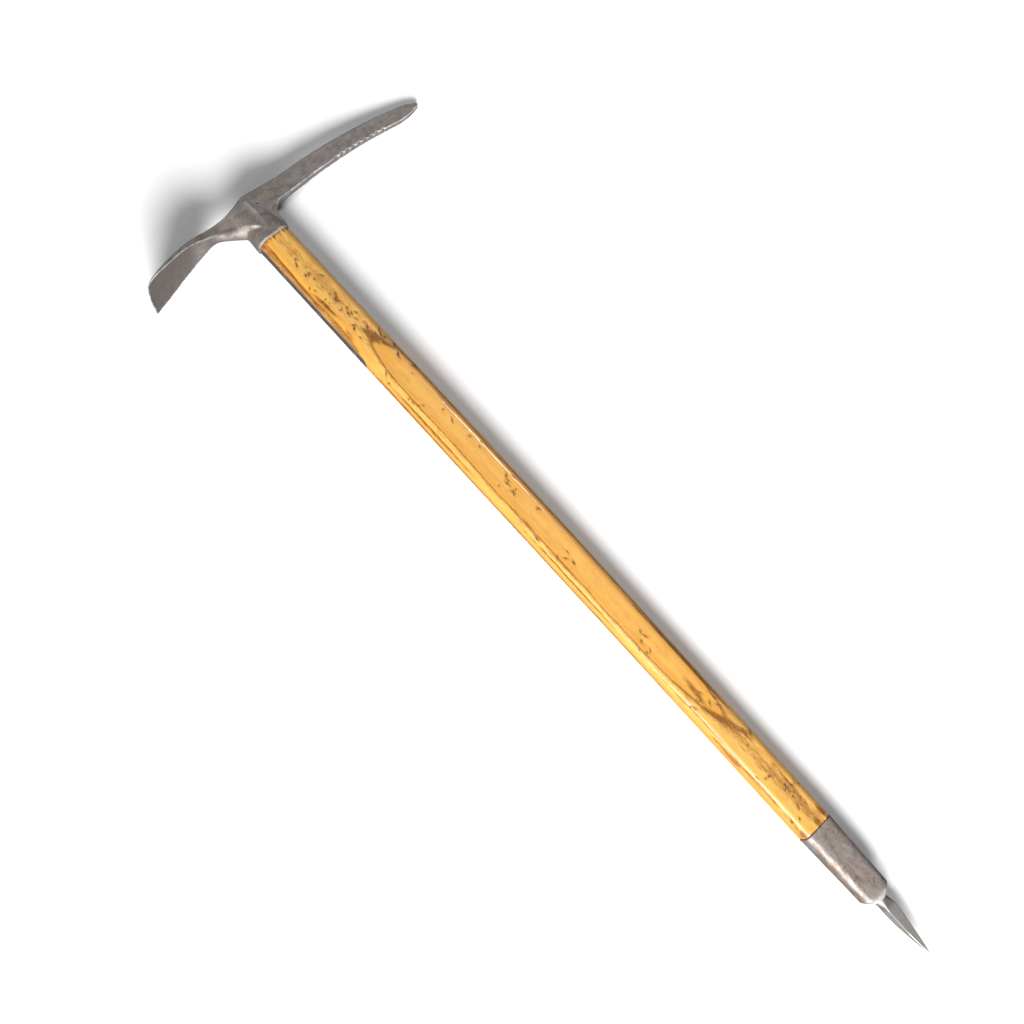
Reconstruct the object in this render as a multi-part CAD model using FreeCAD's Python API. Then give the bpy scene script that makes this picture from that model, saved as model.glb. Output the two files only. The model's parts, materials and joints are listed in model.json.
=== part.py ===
import FreeCAD, Part
import math
import os

from FreeCAD import Placement, Rotation, Vector

# Mountaineering ice axe with a wooden shaft, lying on its side as it rests on a table.
#
# It is drawn upright to its own axes first: X runs down the shaft from the top of the head to the
# tip of the spike, Y points towards the pick, and Z is square to the plane of the head, with Z = 0
# in that plane. The last step lays every piece on the ground, Z = 0, on its three real contacts.
# All sizes are in millimetres.

# Overall
OVERALL_LENGTH = 846.0
PICK_REACH = 185.0
ADZE_REACH = 114.5
ADZE_HALF = 29.6

# Shaft: a rounded rectangle, broad in the plane of the head, with a slight swell and bow
SHAFT_TOP = 44.0
SHAFT_FOOT = 712.5
SHAFT_THICKNESS = 22.6
SHAFT_PLANED = 0.2
SHAFT_FOOT_THICKNESS = 22.0
SHAFT_TOP_CORNER = 9.0
SHAFT_FOOT_CORNER = 7.0
SHAFT_FOOT_OFFSET = 0.2
# Between its ends: distance down the shaft, offset towards the pick, width and corner radius
SHAFT_STATIONS = (
    (190.0, 0.7, 32.3, 9.3),
    (300.0, 1.2, 33.0, 9.4),
    (400.0, 1.3, 32.6, 9.2),
    (510.0, 1.0, 31.2, 8.6),
)

# Socket and its collar
COLLAR_WIDTH = 33.4
COLLAR_THICKNESS = 26.4
COLLAR_CORNER = 10.0
COLLAR_BEVEL = 1.4
COLLAR_END_WIDTH = 31.0
RIDGE_HALF = 13.0
SOCKET_BLADE_FOOT = 30.0
SOCKET_FLOOR = 11.0
TENON_THICKNESS = 21.0
TENON_CORNER = 6.0

# Langets, the two long straps on the narrow sides of the shaft
LANGET_THICKNESS = 2.4
LANGET_WIDTH = 11.0
LANGET_LENGTH = 137.0

# Pick. Its upper edge curves down beyond a straight start, its lower edge swells towards the tip.
PICK_ROOT_HALF = 4.3
PICK_TIP_HALF = 2.6
PICK_CURVE_START = 47.0
PICK_CURVE_RADIUS = 560.0
PICK_CURVE_END = 174.0
PICK_WAIST = 72.0
PICK_WAIST_DEPTH = 17.6
PICK_SWELL_RADIUS = 512.0
PICK_SWELL_END = 155.0
PICK_BELLY = (25.5, 171.0)
PICK_ROOT = 50.0
NOSE_DEPTH = 21.4
NOSE_RADIUS = 2.0
NOSE_LEAN = math.radians(32.0)
TOOTH_COUNT = 9
TOOTH_PITCH = 6.3
TOOTH_DEPTH = 1.0
TOOTH_SLANT = 0.28
TOOTH_LENGTH = 6.1
FIRST_TOOTH = 94.0

# Adze arm, on the side away from the pick. At each reach from the shaft: depths of the upper face
# at its middle and at its sides, half width of the upper face, depth and half width of the lower
# face at its sides, and its depth in the middle. It is a keel under the neck and turns into the
# hollow of the blade.
ADZE_STATIONS = (
    (2.0, 1.2, 2.0, 12.4, 32.0, 12.4, 40.0),
    (16.0, 3.6, 4.2, 11.2, 21.0, 10.4, 28.8),
    (30.0, 4.4, 5.0, 8.8, 13.4, 6.0, 19.6),
    (42.0, 4.4, 5.0, 10.2, 12.2, 9.0, 12.9),
    (56.0, 5.0, 6.8, 17.0, 12.2, 16.6, 9.9),
    (76.0, 8.0, 11.0, 24.4, 14.8, 24.2, 11.5),
    (96.0, 13.2, 16.0, 28.8, 18.8, 28.8, 16.0),
    (116.0, 21.8, 24.0, 31.0, 24.8, 31.0, 22.6),
)
ADZE_EDGE_BULGE = 1.1
ADZE_EDGE_CORNER = 1.8

# Ferrule and spike
FERRULE_LENGTH = 76.5
FERRULE_BEVEL = 7.0
FERRULE_WALL = 1.6
FERRULE_RIM_WIDTH = 29.8
FERRULE_END_WIDTH = 27.0
FERRULE_END_THICKNESS = 19.6
FERRULE_CORNER = 6.0
FERRULE_RING_WIDTH = 15.0
FERRULE_RING_THICKNESS = 17.0
FERRULE_RING_CORNER = 5.0
SPIKE_NECK_RADIUS = 5.8
SPIKE_NECK_LENGTH = 6.0
# Below its neck: distance from the neck's end, and the side of the square
SPIKE_STATIONS = ((0.0, 9.8), (6.0, 10.2), (26.0, 8.2), (40.0, 5.2))
SPIKE_TIP = 1.0
TANG_LENGTH = 52.0
TANG_ROOT = 8.0
TANG_END = 4.0

# Rivets and pin
RIVET_SHANK = 4.5
RIVET_HEAD = 7.0
RIVET_PROUD = 0.5
RIVET_PLACES = (30.0, 75.0, 120.0)
PIN_DIAMETER = 3.5
PIN_PLACE = 30.0

TENON_WIDTH = COLLAR_END_WIDTH - 2.0 * LANGET_THICKNESS
FERRULE_END = SHAFT_FOOT + FERRULE_LENGTH
FERRULE_SHOULDER = FERRULE_END - FERRULE_BEVEL


def rounded_rectangle(x, centre, width, thickness, corner):
    """Closed wire square to the shaft at x: width along Y, thickness along Z."""
    half_w = width / 2.0 - corner
    half_t = thickness / 2.0 - corner
    edges = []
    for quarter in range(4):
        sy = (1, -1, -1, 1)[quarter]
        sz = (1, 1, -1, -1)[quarter]
        hub = Vector(x, centre + sy * half_w, sz * half_t)
        start = math.radians(90.0 * quarter)
        ring = [hub + Vector(0, corner * math.cos(start + step), corner * math.sin(start + step))
                for step in (0.0, math.pi / 4.0, math.pi / 2.0)]
        if edges:
            edges.append(Part.makeLine(edges[-1].Vertexes[-1].Point, ring[0]))
        edges.append(Part.Arc(*ring).toShape())
    edges.append(Part.makeLine(edges[-1].Vertexes[-1].Point, edges[0].Vertexes[0].Point))
    return Part.Wire(edges)


def square(x, side):
    """Closed square wire at x, centred on the shaft's axis."""
    h = side / 2.0
    corners = [Vector(x, -h, -h), Vector(x, h, -h), Vector(x, h, h), Vector(x, -h, h)]
    return Part.makePolygon(corners + corners[:1])


def loft(wires, ruled=False):
    """Solid through the wires: straight between them if ruled, else a smooth cubic."""
    return Part.makeLoft(wires, True, ruled, False, 3)


def box(x0, x1, y0, y1, half_z):
    return Part.makeBox(x1 - x0, y1 - y0, 2.0 * half_z, Vector(x0, y0, -half_z))


def line(a, b):
    return Part.makeLine(Vector(*a), Vector(*b))


def arc(a, b, c):
    return Part.Arc(Vector(*a), Vector(*b), Vector(*c)).toShape()


# ---------------------------------------------------------------------------------------------
# Shaft
# ---------------------------------------------------------------------------------------------

def shaft_blank():
    """Outer shape of the wood between collar and ferrule, before any rebate is cut.

    The rounded section is a little too thick at first, and then its two broad sides are planed flat.
    """
    rough = SHAFT_THICKNESS + 2.0 * SHAFT_PLANED
    wires = [rounded_rectangle(SHAFT_TOP, 0.0, COLLAR_END_WIDTH, rough, SHAFT_TOP_CORNER)]
    for x, centre, width, corner in SHAFT_STATIONS:
        wires.append(rounded_rectangle(x, centre, width, rough, corner))
    wires.append(rounded_rectangle(SHAFT_FOOT, SHAFT_FOOT_OFFSET, FERRULE_RIM_WIDTH,
                                   SHAFT_FOOT_THICKNESS, SHAFT_FOOT_CORNER))
    planed = box(SHAFT_TOP, SHAFT_FOOT, -COLLAR_WIDTH, COLLAR_WIDTH, SHAFT_THICKNESS / 2.0)
    return loft(wires, ruled=True).common(planed)


def langet_blocks():
    """Room for the two langets: flat straps with round ends, deeper than the wood is wide."""
    inner = TENON_WIDTH / 2.0
    end = SHAFT_TOP + LANGET_LENGTH
    half = LANGET_WIDTH / 2.0
    blocks = []
    for side in (-1.0, 1.0):
        low, high = sorted((side * inner, side * COLLAR_WIDTH))
        strap = box(SHAFT_TOP, end - half, low, high, half)
        tip = Part.makeCylinder(half, high - low, Vector(end - half, low, 0), Vector(0, 1, 0))
        blocks.append(strap.fuse(tip).removeSplitter())
    return blocks


def foot_blank(shrink):
    """Shape of the ferrule's outside, taken in by shrink all round."""
    wires = [
        rounded_rectangle(SHAFT_FOOT, SHAFT_FOOT_OFFSET, FERRULE_RIM_WIDTH - 2 * shrink,
                          SHAFT_FOOT_THICKNESS - 2 * shrink, FERRULE_CORNER - shrink),
        rounded_rectangle(FERRULE_SHOULDER - shrink, 0.0, FERRULE_END_WIDTH - 2 * shrink,
                          FERRULE_END_THICKNESS - 2 * shrink, FERRULE_CORNER - shrink),
    ]
    return loft(wires, ruled=True)


def make_tenon():
    wire = rounded_rectangle(SOCKET_FLOOR + 1.0, 0.0, TENON_WIDTH, TENON_THICKNESS, TENON_CORNER)
    return Part.Face(wire).extrude(Vector(SHAFT_TOP - SOCKET_FLOOR - 1.0, 0, 0))


def make_shaft(fasteners, tang):
    wood = shaft_blank()
    wood = wood.fuse(make_tenon())
    wood = wood.fuse(foot_blank(FERRULE_WALL))
    for block in langet_blocks():
        wood = wood.cut(block)
    for piece in fasteners:
        wood = wood.cut(piece)
    return wood.cut(tang)


# ---------------------------------------------------------------------------------------------
# Head
# ---------------------------------------------------------------------------------------------

def pick_top(reach):
    """Distance below the top of the head of the pick's upper edge, at a reach from the shaft."""
    past = max(0.0, reach - PICK_CURVE_START)
    return PICK_CURVE_RADIUS - math.sqrt(PICK_CURVE_RADIUS ** 2 - past ** 2)


def pick_foot(reach):
    """Distance below the top of the head of the pick's lower edge, at a reach from the shaft."""
    past = reach - PICK_WAIST
    return PICK_WAIST_DEPTH + PICK_SWELL_RADIUS - math.sqrt(PICK_SWELL_RADIUS ** 2 - past ** 2)


def pick_side_face():
    """Outline of pick and socket block in the plane of the head."""
    middle = (PICK_CURVE_START + PICK_CURVE_END) / 2.0
    nose = Vector(NOSE_DEPTH, PICK_REACH - NOSE_RADIUS, 0)
    nose_top = nose + Vector(-math.cos(NOSE_LEAN), math.sin(NOSE_LEAN), 0) * NOSE_RADIUS
    nose_end = nose + Vector(0, NOSE_RADIUS, 0)
    nose_foot = nose + Vector(NOSE_RADIUS, 0, 0)
    swell = (pick_foot(PICK_SWELL_END), PICK_SWELL_END, 0)
    root = (pick_foot(PICK_ROOT), PICK_ROOT, 0)
    throat = (root[0] + 0.4, 33.0, 0)
    edges = [
        line((0, 1, 0), (0, PICK_CURVE_START, 0)),
        arc((0, PICK_CURVE_START, 0), (pick_top(middle), middle, 0),
            (pick_top(PICK_CURVE_END), PICK_CURVE_END, 0)),
        line((pick_top(PICK_CURVE_END), PICK_CURVE_END, 0), nose_top),
        arc(nose_top, nose_end, nose_foot),
        arc(nose_foot, (*PICK_BELLY, 0), swell),
        arc(swell, (pick_foot(PICK_WAIST), PICK_WAIST, 0), root),
        line(root, throat),
        arc(throat, (22.8, 21.6, 0), (33.0, 16.9, 0)),
        line((33.0, 16.9, 0), (42.0, 16.7, 0)),
        line((42.0, 16.7, 0), (42.0, -8.0, 0)),
        line((42.0, -8.0, 0), (2.4, -8.0, 0)),
        line((2.4, -8.0, 0), (0, 1, 0)),
    ]
    return Part.Face(Part.Wire(edges))


def pick_plan_face():
    """Outline of pick and socket block seen from the top of the head, widest at a ridge."""
    neck = (-8.0, 12.1)
    ridge = (1.0, RIDGE_HALF)
    cheek = (42.0, PICK_ROOT_HALF)
    tip = (PICK_REACH + 1.0, PICK_TIP_HALF)
    upper = [
        line((0, *neck), (0, *ridge)),
        arc((0, *ridge), (0, 21.0, 7.9), (0, *cheek)),
        line((0, *cheek), (0, *tip)),
    ]
    lower = [edge.mirror(Vector(0, 0, 0), Vector(0, 0, 1)) for edge in upper]
    ends = [
        line((0, tip[0], tip[1]), (0, tip[0], -tip[1])),
        line((0, neck[0], neck[1]), (0, neck[0], -neck[1])),
    ]
    return Part.Face(Part.Wire(Part.__sortEdges__(upper + ends + lower)))


def socket_funnel():
    """Shape that rounds the socket's corners more and more towards the rim of the collar."""
    return loft([
        rounded_rectangle(-1.0, 0.0, 62.0, 2.0 * RIDGE_HALF + 0.4, 1.0),
        rounded_rectangle(SHAFT_TOP, 0.0, COLLAR_WIDTH, COLLAR_THICKNESS, COLLAR_CORNER),
    ], ruled=True)


def teeth():
    """Saw-like notches under the pick, each with its long side towards the shaft. They are filed
    at a slant across the upper corner, and run out before the lower one."""
    notches = []
    reach_z = 10.0
    clear = 1.0
    steep = 0.6
    for index in range(TOOTH_COUNT):
        reach = FIRST_TOOTH + index * TOOTH_PITCH
        edge = pick_foot(reach) - TOOTH_SLANT * reach_z
        corners = [
            Vector(edge + clear, reach - TOOTH_LENGTH, reach_z),
            Vector(edge - TOOTH_DEPTH, reach, reach_z),
            Vector(edge + clear, reach + steep, reach_z),
        ]
        across = Vector(2.0 * TOOTH_SLANT * reach_z, 0, -2.0 * reach_z)
        notches.append(Part.Face(Part.makePolygon(corners + corners[:1])).extrude(across))
    return notches


def adze_section(reach, crown, rim, half, foot, foot_half, keel):
    """Section of the adze arm across Z, from one line of the adze's stations."""
    y = -reach
    return Part.Wire([
        arc((rim, y, -half), (crown, y, 0), (rim, y, half)),
        line((rim, y, half), (foot, y, foot_half)),
        arc((foot, y, foot_half), (keel, y, 0), (foot, y, -foot_half)),
        line((foot, y, -foot_half), (rim, y, -half)),
    ])


def adze_arm():
    return loft([adze_section(*station) for station in ADZE_STATIONS]).common(adze_edge_trim())


def adze_edge_trim():
    """Everything inside the gently convex cutting edge, with its rounded corners."""
    half = ADZE_HALF
    corner = ADZE_EDGE_CORNER
    edge = -ADZE_REACH
    side = edge + ADZE_EDGE_BULGE
    slant = corner * 0.3
    above = -20.0
    inner = 40.0
    edges = [
        arc((above, side, half - corner), (above, edge, 0), (above, side, corner - half)),
        arc((above, side, corner - half), (above, side + slant, slant - half),
            (above, side + corner, -half)),
        line((above, side + corner, -half), (above, inner, -half)),
        line((above, inner, -half), (above, inner, half)),
        line((above, inner, half), (above, side + corner, half)),
        arc((above, side + corner, half), (above, side + slant, half - slant),
            (above, side, half - corner)),
    ]
    return Part.Face(Part.Wire(edges)).extrude(Vector(80.0, 0, 0))


def collar():
    """Sleeve around the tenon, widening a little from the head's top, with a bevelled rim."""
    rim = SHAFT_TOP - COLLAR_BEVEL
    body = loft([
        rounded_rectangle(16.0, 0.0, COLLAR_END_WIDTH, COLLAR_THICKNESS - 4.4, COLLAR_CORNER),
        rounded_rectangle(rim, 0.0, COLLAR_WIDTH, COLLAR_THICKNESS, COLLAR_CORNER),
    ], ruled=True)
    bevel = loft([
        rounded_rectangle(rim, 0.0, COLLAR_WIDTH, COLLAR_THICKNESS, COLLAR_CORNER),
        rounded_rectangle(SHAFT_TOP, 0.0, COLLAR_WIDTH - 1.6, COLLAR_THICKNESS - 1.8,
                          COLLAR_CORNER - 0.8),
    ], ruled=True)
    return body.fuse(bevel)


def socket_cavity():
    wire = rounded_rectangle(SOCKET_FLOOR, 0.0, TENON_WIDTH, TENON_THICKNESS, TENON_CORNER)
    return Part.Face(wire).extrude(Vector(SHAFT_TOP - SOCKET_FLOOR + 1.0, 0, 0))


def make_pick():
    """Pick and socket block: side outline and plan outline crossed, then rounded by the socket."""
    outline = pick_side_face()
    outline.translate(Vector(0, 0, -20))
    plan = pick_plan_face()
    plan.translate(Vector(-5, 0, 0))
    crossed = outline.extrude(Vector(0, 0, 40)).common(plan.extrude(Vector(60, 0, 0)))
    blade = crossed.common(box(-5.0, SOCKET_BLADE_FOOT, 24.0, 200.0, 20.0))
    socket = crossed.common(socket_funnel())
    body = blade.fuse(socket)
    for notch in teeth():
        body = body.cut(notch)
    return body


def make_head(fasteners):
    head = make_pick().fuse([adze_arm(), collar()])
    head = head.cut(socket_cavity())
    blank = shaft_blank()
    for block in langet_blocks():
        head = head.fuse(blank.common(block))
    for piece in fasteners:
        head = head.cut(piece)
    return head


# ---------------------------------------------------------------------------------------------
# Fasteners, ferrule and spike
# ---------------------------------------------------------------------------------------------

def half_width_at(x, side):
    """Distance from the axis to the shaft's narrow face at x."""
    probe = Part.makeLine(Vector(x, 0, 0), Vector(x, side * 40.0, 0))
    inside = shaft_blank().common(probe)
    return abs(inside.BoundBox.YMax if side > 0 else inside.BoundBox.YMin)


def make_rivet(x):
    """Rivet across the shaft: a shank, and on each langet a countersunk head, peened flat."""
    shank = RIVET_SHANK / 2.0
    head = RIVET_HEAD / 2.0
    top = half_width_at(x, 1.0)
    foot = -half_width_at(x, -1.0)
    seat = LANGET_THICKNESS / 2.0
    edge = 0.2
    outline = [
        (0.0, foot - RIVET_PROUD),
        (0.6 * head, foot - RIVET_PROUD),
        (head, foot + edge),
        (shank, foot + seat),
        (shank, top - seat),
        (head, top - edge),
        (0.6 * head, top + RIVET_PROUD),
        (0.0, top + RIVET_PROUD),
    ]
    corners = [Vector(x + radius, y, 0) for radius, y in outline]
    half = Part.Face(Part.makePolygon(corners + corners[:1]))
    return half.revolve(Vector(x, 0, 0), Vector(0, 1, 0), 360)


def make_pin():
    x = SHAFT_FOOT + PIN_PLACE
    reach = foot_blank(0.0).common(Part.makeLine(Vector(x, -40, 0), Vector(x, 40, 0))).BoundBox
    length = reach.YMax - reach.YMin
    return Part.makeCylinder(PIN_DIAMETER / 2.0, length, Vector(x, reach.YMin, 0), Vector(0, 1, 0))


def tang():
    """Square taper driven up into the wood, ending at the closed end of the ferrule."""
    return loft([
        square(FERRULE_SHOULDER - FERRULE_WALL - TANG_LENGTH, TANG_END),
        square(FERRULE_SHOULDER - FERRULE_WALL, TANG_ROOT),
    ], ruled=True)


def neck():
    """Round neck of the spike, through the closed end of the ferrule."""
    start = FERRULE_SHOULDER - FERRULE_WALL
    length = FERRULE_END + SPIKE_NECK_LENGTH - start
    return Part.makeCylinder(SPIKE_NECK_RADIUS, length, Vector(start, 0, 0), Vector(1, 0, 0))


def make_spike(fasteners):
    root = FERRULE_END + SPIKE_NECK_LENGTH
    squares = [square(root + past, side) for past, side in SPIKE_STATIONS]
    point = loft(squares + [square(OVERALL_LENGTH, SPIKE_TIP)])
    spike = tang().fuse([neck(), point])
    for piece in fasteners:
        spike = spike.cut(piece)
    return spike


def make_ferrule(fasteners):
    """Cup with a bevelled closed end, pierced by a round hole for the neck of the spike."""
    end = loft([
        rounded_rectangle(FERRULE_SHOULDER, 0.0, FERRULE_END_WIDTH, FERRULE_END_THICKNESS,
                          FERRULE_CORNER),
        rounded_rectangle(FERRULE_END, 0.0, FERRULE_RING_WIDTH, FERRULE_RING_THICKNESS,
                          FERRULE_RING_CORNER),
    ], ruled=True)
    cup = foot_blank(0.0).fuse(end)
    cup = cup.cut(foot_blank(FERRULE_WALL)).cut(neck())
    for piece in fasteners:
        cup = cup.cut(piece)
    return cup


# ---------------------------------------------------------------------------------------------
# Whole axe, laid down
# ---------------------------------------------------------------------------------------------

def resting_contacts():
    """The three points the axe lies on: point of the pick, side of the adze, rim of the ferrule."""
    return (
        Vector(NOSE_DEPTH, PICK_REACH - 0.6, -PICK_TIP_HALF),
        Vector(19.7, -100.0, -ADZE_HALF),
        Vector(SHAFT_FOOT, 9.7, -SHAFT_FOOT_THICKNESS / 2.0),
    )


def whole_box(shapes):
    return Part.makeCompound(list(shapes)).optimalBoundingBox(True, False)


def laid_down(pieces):
    """Turn the pieces onto their contacts, with the box's foot centred on the origin."""
    pick, adze, ferrule = resting_contacts()
    up = (pick - adze).cross(ferrule - adze)
    if up.z < 0:
        up = -up
    turn = Placement(Vector(0, 0, 0), Rotation(up, Vector(0, 0, 1)))
    turned = {name: shape.copy() for name, shape in pieces.items()}
    for shape in turned.values():
        shape.Placement = turn.multiply(shape.Placement)
    around = whole_box(turned.values())
    shift = Vector(-(around.XMin + around.XMax) / 2.0, -(around.YMin + around.YMax) / 2.0, -around.ZMin)
    for shape in turned.values():
        shape.translate(shift)
    return turned


def drawn_pieces():
    rivets = [make_rivet(SHAFT_TOP + place) for place in RIVET_PLACES]
    pin = make_pin()
    pieces = {
        "head": make_head(rivets),
        "shaft": make_shaft(rivets + [pin], tang()),
        "ferrule": make_ferrule([pin]),
        "spike": make_spike([pin]),
        "ferrule_pin": pin,
    }
    for number, rivet in enumerate(rivets, 1):
        pieces["langet_rivet_%d" % number] = rivet
    return pieces


if __name__ == "__main__":
    os.makedirs("parts", exist_ok=True)
    for name, shape in laid_down(drawn_pieces()).items():
        shape.exportStep("parts/%s.step" % name)
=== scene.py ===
import json
import math

import bmesh
import bpy
import numpy as np
from mathutils import Matrix, Vector, noise


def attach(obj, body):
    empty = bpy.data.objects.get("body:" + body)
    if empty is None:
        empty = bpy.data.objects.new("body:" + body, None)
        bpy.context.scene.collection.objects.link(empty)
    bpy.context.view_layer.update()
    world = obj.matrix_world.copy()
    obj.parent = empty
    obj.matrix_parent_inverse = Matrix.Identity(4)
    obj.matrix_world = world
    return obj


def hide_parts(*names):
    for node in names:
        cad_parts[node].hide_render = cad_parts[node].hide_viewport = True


# A wooden-shafted ice axe lying on its side on a pale floor.
#
# Shapes are given in the tool's own axes, in millimetres: X runs down the shaft from the top of the
# head to the tip of the spike, Y points towards the pick, and Z is square to the plane of the head.
# The record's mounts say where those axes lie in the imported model.

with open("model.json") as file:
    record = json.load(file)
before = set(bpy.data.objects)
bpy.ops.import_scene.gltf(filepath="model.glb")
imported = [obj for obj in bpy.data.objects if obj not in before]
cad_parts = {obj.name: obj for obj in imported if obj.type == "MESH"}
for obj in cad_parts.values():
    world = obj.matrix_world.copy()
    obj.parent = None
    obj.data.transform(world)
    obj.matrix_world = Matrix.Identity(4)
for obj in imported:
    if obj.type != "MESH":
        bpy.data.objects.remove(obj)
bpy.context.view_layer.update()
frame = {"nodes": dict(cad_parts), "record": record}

MM = 0.001

# Sizes shared by several pieces, in millimetres
OVERALL_LENGTH = 846.0
SHAFT_TOP = 44.0
SHAFT_FOOT = 712.5
SHAFT_THICKNESS = 22.6
SHAFT_FOOT_OFFSET = 0.2
FERRULE_SHOULDER = 782.0
FERRULE_END = 789.0
FERRULE_WALL = 1.6
FERRULE_RIM_WIDTH = 29.8
FERRULE_RIM_THICKNESS = 22.0
FERRULE_SHOULDER_WIDTH = 27.0
FERRULE_SHOULDER_THICKNESS = 19.6
FERRULE_CORNER = 6.0
TANG_LENGTH = 52.0
TENON_HALF_WIDTH = 13.05
LANGET_END = 181.0
LANGET_HALF = 5.6
SPIKE_TWIST = math.radians(-8.0)


# ---------------------------------------------------------------------------------------------
# The tool's axes
# ---------------------------------------------------------------------------------------------

def tool_matrix():
    """Takes a point in the tool's axes, in millimetres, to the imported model's frame, in metres."""
    mounts = {mount["name"]: mount for mount in frame["record"]["mounts"]}
    down = Vector(mounts["hand_grip"]["axis"]).normalized()
    out = Vector(mounts["shaft_flat"]["axis"])
    out = (out - out.dot(down) * down).normalized()
    towards_pick = out.cross(down)
    top = Vector(mounts["spike_tip"]["pos_m"]) - down * OVERALL_LENGTH * MM
    turn = Matrix((down, towards_pick, out)).transposed()
    return Matrix.Translation(top) @ turn.to_4x4() @ Matrix.Scale(MM, 4)


TOOL = tool_matrix()
TOOL_NP = np.array(TOOL)
TOOL_INVERSE = np.array(TOOL.inverted())


def to_row(points):
    return points @ TOOL_NP[:3, :3].T + TOOL_NP[:3, 3]


def to_tool(points):
    return points @ TOOL_INVERSE[:3, :3].T + TOOL_INVERSE[:3, 3]


def direction(vector):
    """A direction given in the tool's axes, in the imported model's frame."""
    return (TOOL.to_3x3() @ Vector(vector)).normalized()


# ---------------------------------------------------------------------------------------------
# Mesh helpers
# ---------------------------------------------------------------------------------------------

def rounded_ring(x, centre, width, thickness, corner, count):
    """count points evenly round a rounded rectangle square to the shaft at x."""
    angle = np.linspace(0.0, 2.0 * math.pi, 240, endpoint=False)
    y = np.where(np.cos(angle) > 0, 1.0, -1.0) * (width / 2 - corner) + corner * np.cos(angle)
    z = np.where(np.sin(angle) >= 0, 1.0, -1.0) * (thickness / 2 - corner) + corner * np.sin(angle)
    outline = np.column_stack([y, z])
    outline = np.vstack([outline, outline[:1]])
    along = np.concatenate([[0.0], np.cumsum(np.linalg.norm(np.diff(outline, axis=0), axis=1))])
    steps = np.linspace(0.0, along[-1], count, endpoint=False)
    y = np.interp(steps, along, outline[:, 0]) + centre
    z = np.interp(steps, along, outline[:, 1])
    return np.column_stack([np.full(count, x), y, z])


def new_object(name, mesh):
    piece = bpy.data.objects.new(name, mesh)
    bpy.context.scene.collection.objects.link(piece)
    return piece


def ring_object(name, rings, closed_loop=False):
    """A skin through the rings: capped at both ends, or joined last to first."""
    count = len(rings[0])
    points = to_row(np.vstack(rings))
    faces = []
    pairs = len(rings) if closed_loop else len(rings) - 1
    for k in range(pairs):
        low = k * count
        high = (k + 1) % len(rings) * count
        for i in range(count):
            j = (i + 1) % count
            faces.append((low + i, high + i, high + j, low + j))
    if not closed_loop:
        faces.append(tuple(range(count)))
        faces.append(tuple(reversed(range(pairs * count, (pairs + 1) * count))))
    mesh = bpy.data.meshes.new(name)
    mesh.from_pydata([tuple(p) for p in points], [], faces)
    outward_normals(mesh)
    return new_object(name, mesh)


def outward_normals(mesh):
    edit = bmesh.new()
    edit.from_mesh(mesh)
    bmesh.ops.recalc_face_normals(edit, faces=edit.faces)
    edit.to_mesh(mesh)
    edit.free()


def shade(mesh, sharp_angle):
    mesh.polygons.foreach_set("use_smooth", np.ones(len(mesh.polygons), bool))
    mesh.set_sharp_from_angle(angle=math.radians(sharp_angle))
    mesh.update()


def apply_modifiers(piece):
    """Makes the result of the piece's modifiers its own mesh."""
    graph = bpy.context.evaluated_depsgraph_get()
    mesh = bpy.data.meshes.new_from_object(piece.evaluated_get(graph))
    piece.modifiers.clear()
    piece.data = mesh
    return mesh


def get_points(mesh):
    points = np.zeros(len(mesh.vertices) * 3)
    mesh.vertices.foreach_get("co", points)
    return points.reshape(-1, 3)


def get_normals(mesh):
    normals = np.zeros(len(mesh.vertices) * 3)
    mesh.vertices.foreach_get("normal", normals)
    return normals.reshape(-1, 3)


def set_points(mesh, points):
    mesh.vertices.foreach_set("co", points.astype(np.float32).ravel())
    mesh.update()


def set_attribute(mesh, name, values):
    attribute = mesh.attributes.new(name, "FLOAT", "POINT")
    attribute.data.foreach_set("value", values.astype(np.float32))


def smoothstep(low, high, values):
    t = np.clip((values - low) / (high - low), 0.0, 1.0)
    return t * t * (3.0 - 2.0 * t)


def noise_at(points, scale, seed):
    """Smooth noise, about -1 to 1, at each point. scale is one feature's size along each axis."""
    scaled = points / np.array(scale) + seed
    return np.array([noise.noise(p) for p in scaled.tolist()])


class Neighbours:
    """Averages over each vertex's neighbours."""

    def __init__(self, mesh):
        edges = np.zeros(len(mesh.edges) * 2, int)
        mesh.edges.foreach_get("vertices", edges)
        edges = edges.reshape(-1, 2)
        self.start = np.concatenate([edges[:, 0], edges[:, 1]])
        self.end = np.concatenate([edges[:, 1], edges[:, 0]])
        self.size = len(mesh.vertices)
        self.count = np.maximum(np.bincount(self.start, minlength=self.size), 1)

    def mean(self, values):
        if values.ndim == 1:
            return np.bincount(self.start, values[self.end], self.size) / self.count
        return np.column_stack([self.mean(column) for column in values.T])


# ---------------------------------------------------------------------------------------------
# Head
# ---------------------------------------------------------------------------------------------

HEAD_VOXEL = 0.66
SOFT_ROUNDS = 4
RIDGE_HEIGHT = 0.55


def softening(points):
    """How much each point is smoothed: most round the socket and the adze's neck."""
    x, y, z = points.T
    body = smoothstep(-52.0, -38.0, y) * (1.0 - smoothstep(16.0, 30.0, y))
    return body * (1.0 - smoothstep(36.0, 40.0, x))


def crest(points):
    """0 to 1: how high each point lies on the blunt ridge down both broad sides of the socket."""
    x, y, z = points.T
    along = smoothstep(1.0, 8.0, x) * (1.0 - smoothstep(16.0, 40.0, x))
    return along * np.exp(-((y + 1.5 - 0.17 * x) / 3.2) ** 2)


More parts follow.
